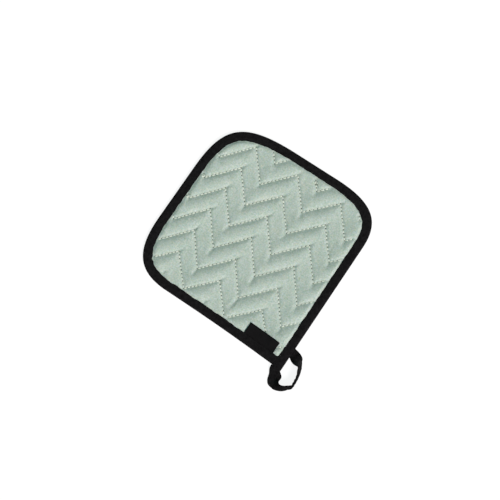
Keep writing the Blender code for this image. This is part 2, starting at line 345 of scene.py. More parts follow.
def zigzag(seam_row):
    """The corners of one seam row from -X to +X: a peak, a valley, a peak and so on."""
    corners = []
    for column in range(FIRST_COLUMN, LAST_COLUMN + 1):
        corners.append(place_in_row(seam_row.row, column, seam_row.peak_x, seam_row.peak_y))
        corners.append(place_in_row(seam_row.row, column, seam_row.valley_x, seam_row.valley_y))
    corners.pop()
    if seam_row.row == PULLED_ROW:
        corners[-2:] = [np.array(corner) for corner in PULLED_CORNERS]
    return corners


ZIGZAGS = [zigzag(seam_row) for seam_row in SEAM_ROWS]


def seam_line(corners, parts):
    """Points along a zigzag, `parts` of them to a stitch, with a needle hole at each corner."""
    line = []
    for start, end in zip(corners, corners[1:]):
        steps = parts * round(min(np.linalg.norm(end - start) / STITCH, LEG_STITCHES))
        line += [start + (end - start) * n / steps for n in range(steps)]
    return line + [corners[-1]]


# --- the pad ---

UPPER_CELL = 2.0            # the cloths' mesh before its subdivision
LOWER_CELL = 4.2
SEAM_CLEAR = 0.5            # from the binding's edge to a seam's first point, in cells
GRID_CLEAR = 0.62           # from any seam to the points between the seams
WELD = 1e-6
CHANNEL_CREST = 0.56        # a rising leg's cloth is highest this far across its channel
LEG_BLEND = 8.0             # how soon one leg's shape turns into the next one's
RISING_LEG = 1.22
RISING_LEG_FRONT = 0.54     # the share of its rise that it keeps up to the front seam
RISING_SHOULDER = 0.09
FRONT_EASE = 0.25           # how soon past its crest it slopes evenly
BACK_SHOULDER = 0.25        # a falling leg's cloth is flatter, between two shoulders
FRONT_SHOULDER = 0.09
FALLING_LEG_BACK = 0.64
FALLING_LEG_FRONT = 0.24
WIDEST = 1.15               # a channel rises no further past this share of the usual width
RISING_SETTLES = 0.4        # how far a leg goes back to this shape after the simulation
FALLING_SETTLES = 0.9
EDGE_RISE = 3.8             # how soon a channel is at its full height beside the binding
EDGE_RISE_RIGHT = 2.4       # along the right side, from RIGHT_FROM on
RIGHT_FROM = 40.0
HELD_DOWN = 0.35            # how steeply the cloth may rise from the binding under the label
HOLE_DEPTH = 0.9            # how far a stitch draws the cloth down at its needle holes
TUCKED = 4.05               # upper cloth under the binding
TUCKED_BELOW = 1.25         # lower cloth over the binding's lower side
TUCK_RISE = 1.6             # how soon the cloth comes up beside the binding
BETWEEN_CLOTHS = 2.0        # a height that only the upper cloth is above
ON_LINE = 0.01              # this near a seam or the binding's edge the cloth is sewn

SIM_SCALE = 0.01            # simulated with 100 mm to the unit
SIM_FRAMES = 25
SIM_SHARE = 0.8             # how much of its rise the cloth starts with
HOLE_SHADE_REACH = 1.5          # how far round a needle hole its painted shade fades out
RISING_HOLE_SHADE = 0.88          # the painted shade round the rising legs' needle holes is smaller
SPARE_CLOTH = 0.008         # how much larger the cloth is cut than its place
PRESSURE = 3.0
LARGEST_MOVE = 1.5          # no point ends further than this from its start

# Creases run into the channels from the chevrons' corners: from a valley to the front
# and from a peak to the back. `dx` and `dy` lead from the corner to the crease's end.
# A valley's crease takes away the share `depth` of the channel's rise at the corner; a
# peak's is a trough, `depth` times PEAK_TROUGH deep there.
CREASE_COLUMNS = "row column dx dy depth"
VALLEY_CREASES = table(
    "Crease", CREASE_COLUMNS,
    (3, 0, 0.2, -8.0, 0.8),
    (2, -1, -1.0, -9.0, 0.7), (2, 0, 1.3, -9.8, 0.9), (2, 1, 0.5, -9.0, 0.7),
    (1, -1, -0.8, -10.0, 0.8), (1, 0, -1.9, -10.6, 0.9), (1, 1, 0.4, -9.5, 0.8),
    (0, -2, -0.5, -9.0, 0.6), (0, -1, -2.8, -11.0, 1.0), (0, 0, 1.8, -10.4, 0.9),
    (0, 1, 0.3, -9.0, 0.7),
    (-1, -2, -0.8, -9.5, 0.6), (-1, -1, -1.4, -12.4, 1.0), (-1, 0, 0.0, -13.0, 1.0),
    (-1, 1, 0.3, -10.0, 0.8),
    (-2, -1, -1.3, -12.0, 1.0), (-2, 0, -3.0, -19.5, 1.0), (-2, 1, 0.4, -10.0, 0.8),
    (-3, -1, -1.0, -9.0, 0.7), (-3, -1, -5.4, 8.6, 0.7), (-3, 0, 0.0, -8.0, 0.6),
)
PEAK_CREASES = table(
    "Crease", CREASE_COLUMNS,
    (2, -1, 3.5, 8.0, 0.6), (2, 0, 3.0, 7.5, 0.5), (2, 1, 3.8, 7.0, 0.5),
    (1, -1, 5.1, 9.3, 0.8), (1, 0, 4.4, 8.0, 0.6), (1, 1, 4.0, 8.0, 0.5),
    (0, -1, 4.2, 9.4, 0.8), (0, 0, 4.8, 8.4, 0.7), (0, 1, 4.0, 8.0, 0.5),
    (-1, -1, 6.0, 7.2, 0.7), (-1, 0, 4.6, 8.6, 0.6), (-1, 1, 4.2, 8.0, 0.5),
    (-2, -1, 2.2, 11.4, 0.8), (-2, 0, 4.4, 8.8, 0.6), (-2, 1, 4.0, 8.0, 0.5),
    (-3, -1, 3.6, 8.0, 0.6), (-3, 0, 4.2, 8.4, 0.6), (-3, 1, 4.0, 8.0, 0.5),
    (-4, -1, 3.6, 7.0, 0.5), (-4, 0, 3.8, 7.4, 0.5),
)
VALLEY_HALF_WIDTH = 2.6
PEAK_HALF_WIDTH = 1.7
PEAK_TROUGH = 2.2
TROUGH_FLOOR = -0.3         # a trough goes no further below the seams
CREASE_START = 0.6          # a crease's half width where it starts, as a share
CREASE_SPREAD = 0.6         # how much of it is added by its end
CREASE_FADE = 0.8           # below 1, it stays deep for longer


def flat_plan(cell, parts):
    """A cloth laid out flat: its points, triangles, rim and needle holes.

    Mesh lines follow the rim, the binding's edge and every seam.
    """
    points = [RIM, BINDING_EDGE]
    count = len(RIM)
    ring = np.arange(count)
    edges = [np.stack([ring, np.roll(ring, -1)], axis=1),
             np.stack([ring, np.roll(ring, -1)], axis=1) + count]
    holes = [np.zeros(2 * count, bool)]
    used = 2 * count
    for corners in ZIGZAGS:
        line = np.array(seam_line(corners, parts))
        kept = depth_inside(line, BINDING_EDGE) > SEAM_CLEAR * cell
        number = used + np.cumsum(kept) - 1
        joined = kept[:-1] & kept[1:]
        edges.append(np.stack([number[:-1], number[1:]], axis=1)[joined])
        points.append(line[kept])
        holes.append((np.arange(len(line)) % parts == 0)[kept])
        used += kept.sum()
    points = np.concatenate(points)
    edges = np.concatenate(edges)
    grid = hexagonal_points(cell)
    clear = distance_to(grid, points[edges[:, 0]], points[edges[:, 1]]) > GRID_CLEAR * cell
    grid = grid[clear & (depth_inside(grid, BINDING_EDGE) > 0.0)]
    holes = np.concatenate(holes + [np.zeros(len(grid), bool)])
    points = np.concatenate([points, grid])
    made, _, faces, sources, _, _ = delaunay_2d_cdt(
        [Vector(point) for point in points], edges.tolist(), [list(range(count))], 1, WELD)
    first = [source[0] if source else -1 for source in sources]
    where = {source: k for k, source in enumerate(first)}
    plan = np.array([tuple(point) for point in made])
    hole = np.array([source >= 0 and holes[source] for source in first])
    return plan, faces, [where[k] for k in range(count)], hole


def hexagonal_points(cell):
    low, high = OUTLINE.min(axis=0), OUTLINE.max(axis=0)
    rows = np.arange(low[1], high[1], cell * sin(pi / 3.0))
    columns = np.arange(low[0], high[0], cell)
    return np.array([(x + 0.5 * cell * (k % 2), y) for k, y in enumerate(rows) for x in columns])


def swelling(distance, reach):
    """0 at a seam and 1 from `reach` on, steepest at the seam."""
    left = 1.0 - np.clip(distance / reach, 0.0, 1.0)
    return 1.0 - left * left


def seam_distances(plan):
    """Each point's distance to the nearest seam behind it and in front of it.

    Also how far it lies in a falling leg, from a peak down to the right: 0 to 1.
    """
    behind = np.full(len(plan), np.inf)
    before = np.full(len(plan), np.inf)
    falling = np.zeros(len(plan))
    for corners in ZIGZAGS:
        corners = np.array(corners)
        away = distance_to(plan, corners[:-1], corners[1:])
        is_behind = np.interp(plan[:, 0], corners[:, 0], corners[:, 1]) > plan[:, 1]
        turns = np.column_stack([corners[:, 0] - LEG_BLEND, corners[:, 0] + LEG_BLEND]).ravel()
        legs = np.interp(plan[:, 0], turns, np.resize((0.0, 1.0, 1.0, 0.0), len(turns)))
        falling = np.where(is_behind & (away < behind), legs, falling)
        behind = np.where(is_behind, np.minimum(behind, away), behind)
        before = np.where(is_behind, before, np.minimum(before, away))
    return behind, before, falling


def channel_profile(across, falling):
    """The cloth's rise across a channel, as a share of the crown."""
    down = np.clip((across - CHANNEL_CREST) / (1.0 - CHANNEL_CREST), 0.0, 1.0)
    down = (1.0 + FRONT_EASE) * down * down / (down + FRONT_EASE)
    rising_leg = RISING_LEG * np.where(across < CHANNEL_CREST, swelling(across, CHANNEL_CREST),
                                       1.0 - (1.0 - RISING_LEG_FRONT) * down)
    rising_leg *= swelling(1.0 - across, RISING_SHOULDER)
    shoulders = swelling(across, BACK_SHOULDER) * swelling(1.0 - across, FRONT_SHOULDER)
    falling_leg = shoulders * mix(FALLING_LEG_BACK, FALLING_LEG_FRONT, across)
    return mix(rising_leg, falling_leg, falling)


def upper_heights(plan):
    """The upper cloth's height where it is sewn down and its rise above that, with how
    far it is from a seam, inside the binding and in a falling leg."""
    behind, before, falling = seam_distances(plan)
    inside = depth_inside(plan, BINDING_EDGE)
    sewn_height = mix(TUCKED, SEAM_TOP, swelling(inside, TUCK_RISE))
    profile = channel_profile(behind / (behind + before), falling)
    width = (behind + before) / (2.0 * HALF_CHANNEL)
    edge_rise = mix(EDGE_RISE, EDGE_RISE_RIGHT, np.clip(plan[:, 0] / RIGHT_FROM, 0.0, 1.0))
    rise = CROWN * np.minimum(width, WIDEST) * profile * swelling(inside, edge_rise)
    return sewn_height, rise, np.minimum(behind, before), inside, falling


def lower_heights(plan):
    behind, before, _ = seam_distances(plan)
    inside = depth_inside(plan, BINDING_EDGE)
    from_line = np.minimum(np.minimum(behind, before), np.maximum(inside, 0.0))
    drawn_up = np.clip(1.0 - from_line / FLAT_FROM, 0.0, 1.0)
    return np.where(inside <= 0.0, TUCKED_BELOW, SEAM_BOTTOM * drawn_up * drawn_up)


def blown_up(points, faces, sewn):
    """The upper cloth after a cloth simulation that swells it between its seams."""
    mesh = bpy.data.meshes.new("blown")
    mesh.from_pydata([tuple(point) for point in points * SIM_SCALE], [], faces)
    item = new_object("blown", mesh)
    item.vertex_groups.new(name="sewn").add(np.flatnonzero(sewn).tolist(), 1.0, "REPLACE")
    cloth = item.modifiers.new("cloth", "CLOTH")
    settings = cloth.settings
    settings.vertex_group_mass = "sewn"
    settings.effector_weights.gravity = 0.0
    settings.use_pressure = True
    settings.uniform_pressure_force = PRESSURE
    settings.shrink_min = -SPARE_CLOTH
    settings.quality = 6
    settings.mass = 0.05
    settings.air_damping = 2.0
    settings.bending_stiffness = 2.0
    cloth.collision_settings.use_collision = False
    cloth.point_cache.frame_end = SIM_FRAMES
    for frame_number in range(1, SIM_FRAMES + 1):
        bpy.context.scene.frame_set(frame_number)
    settled = places_of(evaluated(item).data) / SIM_SCALE
    bpy.data.objects.remove(item)
    bpy.data.meshes.remove(mesh)
    bpy.context.scene.frame_set(1)
    moved = settled - points
    far = np.linalg.norm(moved, axis=1, keepdims=True)
    return points + moved * np.minimum(1.0, LARGEST_MOVE / np.maximum(far, 1e-9))


def crease_field(creases, in_valleys, points, half_width):
    """For each crease, its depth times how near each point lies to its start and line."""
    for crease in creases:
        corners = ZIGZAGS[SEAM_ROWS[0].row - crease.row]
        start = corners[2 * (crease.column - FIRST_COLUMN) + in_valleys]
        run = np.array((crease.dx, crease.dy))
        length = np.linalg.norm(run)
        offset = points - start
        along = offset @ run / length
        aside = offset @ turned_left(run) / length
        share = np.clip(1.0 - along / length, 0.0, 1.0)
        share = share * np.clip(1.0 + along / half_width, 0.0, 1.0)
        spread = half_width * (CREASE_START + CREASE_SPREAD * np.clip(along / length, 0.0, 1.0))
        yield crease.depth * share ** CREASE_FADE * np.exp(-(aside / spread) ** 2)


def build_pad(material):
    plan, faces, rim, hole = flat_plan(UPPER_CELL, 2)
    sewn_height, rise, from_seam, inside, falling = upper_heights(plan)
    start = np.column_stack([plan, sewn_height + SIM_SHARE * rise - HOLE_DEPTH * hole])
    upper = blown_up(start, faces, (from_seam < ON_LINE) | (inside < ON_LINE))
    settled = sewn_height + rise - HOLE_DEPTH * hole
    upper[:, 2] += mix(RISING_SETTLES, FALLING_SETTLES, falling) * (settled - upper[:, 2])
    lower_plan, lower_faces, lower_rim, _ = flat_plan(LOWER_CELL, 1)
    lower = np.column_stack([lower_plan, lower_heights(lower_plan)])
    first_lower = len(upper)
    all_faces = [tuple(face) for face in faces]
    all_faces += [tuple(first_lower + k for k in face[::-1]) for face in lower_faces]
    for k in range(len(rim)):
        m = (k + 1) % len(rim)
        all_faces.append((rim[m], rim[k], first_lower + lower_rim[k], first_lower + lower_rim[m]))
    pad = object_from("quilted_cloth", np.concatenate([upper, lower]), all_faces, material)
    divide_finely(pad)
    press_creases(pad)
    paint_needle_hole_shade(pad)
    return pad


def paint_needle_hole_shade(pad):
    """An attribute for the material's painted shade in the needle holes: 1 in a hole, 0 from its
    reach on.
    """
    holes, strengths = [], []
    for run in seam_runs():
        for before, point, after in zip([run[0], *run], run, [*run[1:], run[-1]]):
            in_falling_leg = is_falling(before, point) or is_falling(point, after)
            holes.append(point)
            strengths.append(1.0 if in_falling_leg else RISING_HOLE_SHADE)
    tree = KDTree(len(holes))
    for k, point in enumerate(holes):
        tree.insert((*point, 0.0), k)
    tree.balance()
    hole_shades = []
    for vertex in pad.data.vertices:
        _, k, away = tree.find((vertex.co.x / MM, vertex.co.y / MM, 0.0))
        hole_shades.append(strengths[k] * max(1.0 - away / HOLE_SHADE_REACH, 0.0))
    add_attribute(pad, "needle_hole_shade", hole_shades)


def press_creases(pad):
    """Work the listed creases into the upper cloth."""
    points = places_of(pad.data) / MM
    plan = points[:, :2]
    sewn_height, _, _, inside, _ = upper_heights(plan)
    raised = (points[:, 2] > sewn_height) & (inside > 0.0)
    rise = points[:, 2] - sewn_height
    for field in crease_field(VALLEY_CREASES, True, plan, VALLEY_HALF_WIDTH):
        rise = rise * (1.0 - field)
    for field in crease_field(PEAK_CREASES, False, plan, PEAK_HALF_WIDTH):
        rise = np.maximum(rise - PEAK_TROUGH * field, TROUGH_FLOOR)
    points[:, 2] = np.where(raised, sewn_height + rise, points[:, 2])
    labelled = (points[:, 2] > BETWEEN_CLOTHS) & is_inside(plan, label_outline())
    held = TUCKED + HELD_DOWN * np.maximum(inside, 0.0)
    points[:, 2] = np.where(labelled, np.minimum(points[:, 2], held), points[:, 2])
    pad.data.vertices.foreach_set("co", (points * MM).astype(np.float32).ravel())
    pad.data.update()


def divide_finely(item):
    """One subdivision, made part of the mesh."""
    modifier = item.modifiers.new("fine", "SUBSURF")
    modifier.levels = modifier.render_levels = 1
    bpy.context.view_layer.update()
    coarse = item.data
    item.data = bpy.data.meshes.new_from_object(evaluated(item))
    item.data.name = item.name
    item.modifiers.clear()
    bpy.data.meshes.remove(coarse)


# --- the stitches ---

THREAD_RADIUS = 0.56
RISING_PROUD = 0.75         # a thread's middle above the cloth, in thread radii
FALLING_PROUD = -0.30
STITCH_START = 0.15         # it comes up this far from its needle hole, as a share
STITCH_RINGS = 6
STITCH_SIDES = 6
STITCH_SINK = 0.8           # how far a stitch's ends go down into the cloth
STITCH_ARCH = 0.35          # below 1, it comes up steeply and lies flat at its middle
STITCH_STRAY = 0.12         # how far its middle may lie out of line
SEWN_START = 0.06           # the same three for the thread sewn along the loop
SEWN_SINK = 1.0
SEWN_RISE, SEWN_ARCH = 1.6, 0.6
TAPER = 0.4                 # how bluntly a stitch ends
TAPER_PAST = 0.8            # it would come to a point this far past its ends, in rings
SHORTEST_SHOWN = 0.9        # from the binding's edge to the first stitch that shows
FAR_OFF = 50.0              # a height well clear of the part

# Stitches beside the rows: where two of them turn at the edge, and one row's backstitch.
EXTRA_STITCHES = (
    ((-90.2, 24.2), (-85.2, 24.3)),
    ((-91.0, -3.5), (-86.6, -3.4)),
    ((17.8, 87.4), (19.8, 84.7)),
    ((19.8, 88.7), (21.8, 85.8)),
)


def surface_tree(item):
    """A search tree of an object's surface, in millimetres."""
    points = [vertex.co / MM for vertex in item.data.vertices]
    return BVHTree.FromPolygons(points, [tuple(face.vertices) for face in item.data.polygons])


def height_on(tree, x, y, from_above=True):
    """The height of a surface over one point, found from above or from below."""
    side = 1.0 if from_above else -1.0
    hit = tree.ray_cast(Vector((x, y, side * FAR_OFF)), Vector((0.0, 0.0, -side)))
    return None if hit[0] is None else hit[0].z


def thread_rings(path, radius):
    """Rings of points round a path, narrower at its ends."""
    path = np.array(path)
    heading = unit(np.gradient(path, axis=0))
    aside = unit(np.cross(heading, (0.0, 0.0, 1.0)))
    upward = np.cross(aside, heading)
    turns = 2.0 * pi * np.arange(STITCH_SIDES) / STITCH_SIDES
    steps = len(path) - 1 + 2.0 * TAPER_PAST
    taper = np.sin(pi * (np.arange(len(path)) + TAPER_PAST) / steps) ** TAPER
    return np.concatenate([point + radius * share * (np.cos(turns)[:, None] * right
                                                     + np.sin(turns)[:, None] * up)
                           for point, right, up, share in zip(path, aside, upward, taper)])


def stitch_mesh(name, paths, radius, material):
    """One mesh of stitches, each along a path of STITCH_RINGS points."""
    one_stitch = loft_faces(STITCH_RINGS, STITCH_SIDES)
    size = STITCH_RINGS * STITCH_SIDES
    faces = [tuple(size * k + corner for corner in face)
             for k in range(len(paths)) for face in one_stitch]
    rings = [thread_rings(path, radius) for path in paths]
    return object_from(name, np.concatenate(rings), faces, material)


def is_falling(start, end):
    return (end[0] - start[0]) * (end[1] - start[1]) < 0.0


def stitched(name, runs, tree, from_above, radius, material):
    """The stitches that lie on a surface along some runs of needle holes.

    Those of the falling legs are drawn deeper into the cloth.
    """
    rng = np.random.default_rng(7)
    lift = 1.0 if from_above else -1.0
    paths = []
    for start, end in (stitch for run in runs for stitch in zip(run, run[1:])):
        stray = rng.uniform(-STITCH_STRAY, STITCH_STRAY, 2)
        proud = radius * (FALLING_PROUD if is_falling(start, end) else RISING_PROUD)
        path = []
        for t in np.linspace(0.0, 1.0, STITCH_RINGS):
            share = STITCH_START + (1.0 - 2.0 * STITCH_START) * t
            x, y = start + (end - start) * share + stray * sin(pi * t)
            arch = proud + STITCH_SINK * (sin(pi * t) ** STITCH_ARCH - 1.0)
            height = height_on(tree, x, y, from_above) + lift * arch
            path.append((x, y, max(height, radius + LOWEST)))
        paths.append(path)
    return stitch_mesh(name, paths, radius, material)


def sewn_through(name, seams, radius, material):
    """The stitches of seams whose needle holes are known in space, on one side each."""
    paths = []
    for holes, outward in seams:
        for start, end, out in zip(holes, holes[1:], outward):
            paths.append([mix(start, end, t)
                          + out * radius * (SEWN_RISE * sin(pi * t) ** SEWN_ARCH - SEWN_SINK)
                          for t in np.linspace(SEWN_START, 1.0 - SEWN_START, STITCH_RINGS)])
    return stitch_mesh(name, paths, radius, material)


def seam_runs():
    """The needle holes of each seam row that show between the binding's edges."""
    runs = []
    for corners in ZIGZAGS:
        line = np.array(seam_line(corners, 1))
        shown = depth_inside(line, BINDING_EDGE) > SHORTEST_SHOWN
        shown &= ~is_inside(line, label_outline())
        breaks = np.flatnonzero(np.diff(shown.astype(int))) + 1
        for part, is_shown in zip(np.split(line, breaks), np.split(shown, breaks)):
            if is_shown[0] and len(part) > 1:
                runs.append(part)
    return runs + [np.array(stitch) for stitch in EXTRA_STITCHES]


# --- the binding ---

# The folded tape cut across. Each point is the share of the binding's width and the
# distance on from there, measured from the rim, with the height.
BINDING_SECTION = (
    (1.0,  0.0, 0.60), (1.0, -0.3, 0.10), (1.0, -0.9, 0.04), (1.0, -1.6, 0.45), (1.0, -2.3, 0.02),
    (0.5,  0.0, 0.00), (0.0,  3.0, 0.00), (0.0,  1.7, 0.15), (0.0,  0.8, 0.65), (0.0,  0.2, 1.50),
    (0.0,  0.0, 2.60), (0.0,  0.2, 3.70), (0.0,  0.8, 4.55), (0.0,  1.7, 5.00), (0.0,  3.0, 5.17),
    (0.5,  0.0, 5.24), (1.0, -3.0, 5.20), (1.0, -2.3, 5.12), (1.0, -1.6, 4.86), (1.0, -0.9, 5.06),
    (1.0, -0.3, 5.00), (1.0,  0.0, 4.60), (1.0, -0.1, 4.26), (1.0, -0.7, 4.20), (0.5,  0.0, 4.20),
    (0.0,  1.5, 4.10), (0.0,  1.2, 2.60), (0.0,  1.5, 1.10), (0.5,  0.0, 1.00), (1.0, -0.7, 1.00),
)
SEAM_IN = 1.6               # the binding's own seam, from its inner edge
FRONT_END = 89.8            # the front side ends here, against the right side
RIGHT_WIDTH = 11.8          # the right side's width from WIDE_FROM down to the loop
WIDE_FROM = -92.5
WIDENING_LENGTH = 14.0
WIDENING_CURVE = 1.5
FRONT_SIDE_Y = -85.0        # the front side's edges lie in front of this
BINDING_UNEVEN = 0.16       # how far its top, from TOP_FROM up, rises and falls
TOP_FROM = 4.3
UNEVEN_SIZE = 6.0
FINER, FINER_SHARE = 2.7, 0.5
BINDING_STITCH = 3.1
BINDING_THREAD = 0.24       # the black thread's radius


def binding_run():
    """Places round the rim from the loop to the front side's end: point, inward, width."""
    kept = (OUTLINE[:, 1] >= FRONT_SIDE_Y) | (OUTLINE[:, 0] <= FRONT_END - SIDE_STEP)
    kept[:len(kept) // 2] = True
    points, inward, widths = OUTLINE[kept].copy(), INWARD[kept].copy(), WIDTHS[kept].copy()
    inward[0] = (-1.0, 0.0)
    near_loop = np.clip(1.0 - (points[:, 1] - WIDE_FROM) / WIDENING_LENGTH, 0.0, 1.0)
    near_loop **= WIDENING_CURVE
    near_loop[len(points) // 2:] = 0.0
    widths += (RIGHT_WIDTH - widths) * near_loop
    heading = unit(OUTLINE[0] - points[-1])
    last = points[-1] + heading * (FRONT_END - points[-1, 0]) / heading[0]
    return (np.vstack([points, last]), np.vstack([inward, turned_left(heading)]),
            np.append(widths, widths[-1]))


def swept(name, sections, along, material):
    """A strip over sections of equal point count, with a UV map along and around the tape."""
    rings, count = sections.shape[:2]
    item = object_from(name, sections.reshape(-1, 3), loft_faces(rings, count), material)
    around = np.linalg.norm(np.diff(sections, axis=1, prepend=sections[:, :1]), axis=2)
    around = np.cumsum(around, axis=1).mean(axis=0)
    uvs = np.column_stack([np.repeat(along, count), np.tile(around, rings)])
    add_uv_map(item, "tape", uvs)
    return item


def build_binding(material):
    points, inward, widths = binding_run()
    share, offset, height = np.array(BINDING_SECTION).T
    depth = widths[:, None] * share + offset
    flat = points[:, None] + inward[:, None] * depth[..., None]
    sections = np.dstack([flat, np.broadcast_to(height, depth.shape)])
    for place in sections.reshape(-1, 3):
        if place[2] > TOP_FROM:
            spot = Vector((place[0] / UNEVEN_SIZE, place[1] / UNEVEN_SIZE, 0.0))
            uneven = noise.noise(spot) + FINER_SHARE * noise.noise(spot * FINER)
            place[2] += BINDING_UNEVEN * uneven
    return swept("edge_tape", sections, run_lengths(points), material)


def evenly_along(points, step):
    """Points every `step` along a line."""
    along = run_lengths(points)
    stops = np.linspace(0.0, along[-1], round(along[-1] / step) + 1)
    return np.column_stack([np.interp(stops, along, points[:, k]) for k in range(points.shape[1])])


def binding_seam():
    points, inward, widths = binding_run()
    return evenly_along(points + inward * (widths - SEAM_IN)[:, None], BINDING_STITCH)


# --- the loop ---

TAPE_THICKNESS = 1.8
# A cut across the loop: its middle, the way the tape runs there, its width and its tilt.
LOOP_SECTIONS = table(
    "LoopSection", "x y heading width tilt",
    (95.1, -104.4, -90.0, 12.2, 0.0),
    (95.6, -107.5, -75.0, 12.3, 0.0),
    (98.2, -110.9, -62.0, 13.3, 0.0),
    (99.5, -113.2, -58.0, 14.6, 0.0),
    (100.3, -115.5, -56.0, 15.0, 0.0),
    (100.9, -117.8, -53.0, 14.0, 0.0),
    (101.7, -119.6, -44.0, 13.0, 10.0),
    (103.1, -120.8, -34.0, 12.4, 26.0),
    (105.1, -121.4, -25.0, 12.0, 36.0),
    (107.3, -121.7, -15.0, 12.0, 42.0),
    (109.7, -121.2, -5.0, 12.0, 48.0),
    (112.3, -120.2, 7.0, 12.0, 54.0),
    (114.6, -118.6, 17.0, 12.0, 57.5),
    (116.8, -116.6, 25.0, 12.0, 61.5),
    (118.8, -114.8, 32.0, 12.0, 66.5),
    (120.6, -113.1, 47.0, 12.0, 73.0),
    (121.0, -110.7, 76.0, 11.8, 84.5),
    (121.0, -108.0, 88.0, 11.8, 84.5),
    (120.7, -104.6, 95.0, 11.8, 84.0),
    (120.3, -100.9, 98.0, 11.8, 84.5),
    (119.5, -97.5, 100.0, 11.8, 81.0),
    (118.2, -94.4, 100.0, 11.8, 75.0),
    (117.1, -91.7, 104.0, 11.8, 74.0),
    (116.0, -89.6, 114.0, 11.8, 70.0),
    (114.5, -88.4, 131.0, 11.8, 59.0),
    (112.6, -87.1, 142.0, 12.2, 40.0),
    (110.7, -85.7, 145.0, 12.6, 18.0),
    (108.4, -84.3, 149.0, 13.0, 0.0),
    (105.4, -82.7, 149.0, 12.4, 0.0),
    (102.8, -82.0, 157.0, 11.9, 0.0),
    (100.6, -81.8, 172.0, 11.8, 0.0),
)
# Where the tape is painted paler as a highlight, or below 0 darker as a shadow: how far along the
# loop it is.
LOOP_PAINTED_LIGHT = table(
    "LoopPaintedLight", "along half_length amount",
    (17.5, 2.5, 0.9), (24.0, 16.0, -0.36), (63.0, 3.0, 0.4), (70.5, 3.0, 1.5), (79.0, 3.5, -0.35),
)
LOOP_STEPS = 4              # cuts from one row to the next
LOOP_PLY = 0.78             # one layer of the folded tape
LOOP_SETTLES = 6.0          # it has no creases this near its ends
ROOT_THICKNESS = 5.0        # where it comes out of the binding
ROOT_LENGTH = 11.0          # how soon it flattens
END_THICKNESS = 1.2         # where it goes under the binding
TWIST_THICKNESS = 2.8       # where it stands on edge, tightly twisted
TWIST_MIDDLE = 50.0
TWIST_HALF_LENGTH = 12.5
LOOP_SEAM_OUT = 0.8         # its thread from the tape's middle, as a share of half its thickness

# Half of the folded tape cut across, from its open edge to its fold: the share of its
# half width and the distance on from there, with the share of its half thickness. The
# other half is its mirror image.
LOOP_HALF_RING = (
    (-1.0, 0.0, 0.55), (-1.0, 0.25, 0.92), (-1.0, 0.9, 1.00), (-1.0, 1.6, 0.80), (-1.0, 2.3, 1.00),
    (-0.3, 0.0, 1.04), (0.3, 0.0, 1.04), (1.0, -1.6, 1.00), (1.0, -0.7, 0.88), (1.0, -0.2, 0.55),
)
# The slit between its two layers: the distance on from the share of its half width.
SLIT_HALF = ((-1.0, 0.15), (0.0, 0.0), (1.0, -0.9))
THINNEST_SLIT = 0.06

# Soft troughs and ridges in the tape. Each end is given by how far along the loop it is
# and by the share of the half width towards the folded edge.
LOOP_CREASES = table(
    "LoopCrease", "along across to_along to_across rise half_width",
    (1.5, -0.9, 4.5, 0.9, -0.70, 1.0),
    (3.2, -1.0, 6.5, 0.8, 0.50, 1.2),
    (5.0, -0.8, 9.5, 0.4, -0.75, 1.2),
    (8.0, 0.9, 10.5, 0.1, 0.60, 1.2),
    (10.5, 0.9, 16.0, -0.7, -0.50, 1.2),
    (12.8, 0.9, 17.5, -0.2, 0.40, 1.2),
    (18.0, 0.9, 20.0, -0.5, -0.30, 1.0),
    (22.0, -0.6, 24.5, 0.7, 0.40, 1.2),
    (27.0, -0.8, 28.5, 0.8, -0.40, 1.0),
    (35.5, -0.9, 38.5, 0.9, -0.55, 0.9),
    *((40.8 + 2.2 * k, 0.1, 43.2 + 2.2 * k, 1.0, 0.4 * (-1) ** k, 0.6) for k in range(6)),
    (62.0, -0.9, 66.0, 0.4, 0.45, 1.1),
    (68.0, -0.9, 71.0, 0.9, -0.50, 1.3),
    (73.5, -1.0, 73.0, 1.0, 0.60, 1.5),
    (77.0, -1.0, 77.0, 1.0, -0.70, 1.3),
)


def between(a, b, c, d, t):
    """A smooth curve from b to c that passes them in the directions of a and d."""
    return 0.5 * (2.0 * b + (c - a) * t + (2.0 * a - 5.0 * b + 4.0 * c - d) * t * t
                  + (3.0 * b - a - 3.0 * c + d) * t * t * t)


def smooth_sections(rows, steps):
    smooth = []
    last = len(rows) - 1
    for k in range(last):
        around = [rows[min(max(n, 0), last)] for n in (k - 1, k, k + 1, k + 2)]
        for step in range(steps):
            t = step / steps
            smooth.append(rows[0]._make(between(*values, t) for values in zip(*around)))
    smooth.append(rows[last])
    return smooth


def loop_rise(along, across, half):
    """How far the loop's creases push the tape up at one place."""
    rise = 0.0
    for crease in LOOP_CREASES:
        start = np.array((crease.along, crease.across * half))
        side = np.array((crease.to_along, crease.to_across * half)) - start
        offset = np.array((along, across)) - start
        share = float(np.clip(offset @ side / (side @ side), 0.0, 1.0))
        away = np.linalg.norm(offset - share * side)
        rise += crease.rise * np.exp(-(away / crease.half_width) ** 2)
    return rise


LoopFrame = namedtuple("LoopFrame", "centre across up half thick along free")


def loop_thickness(along, to_end):
    """The folded tape's thickness at one place along the loop."""
    root = max(1.0 - along / ROOT_LENGTH, 0.0) ** 2
    end = max(1.0 - to_end / LOOP_SETTLES, 0.0)
    twisted = max(1.0 - ((along - TWIST_MIDDLE) / TWIST_HALF_LENGTH) ** 4, 0.0)
    return (TAPE_THICKNESS + (ROOT_THICKNESS - TAPE_THICKNESS) * root
            + (END_THICKNESS - TAPE_THICKNESS) * end
            + (TWIST_THICKNESS - TAPE_THICKNESS) * twisted)


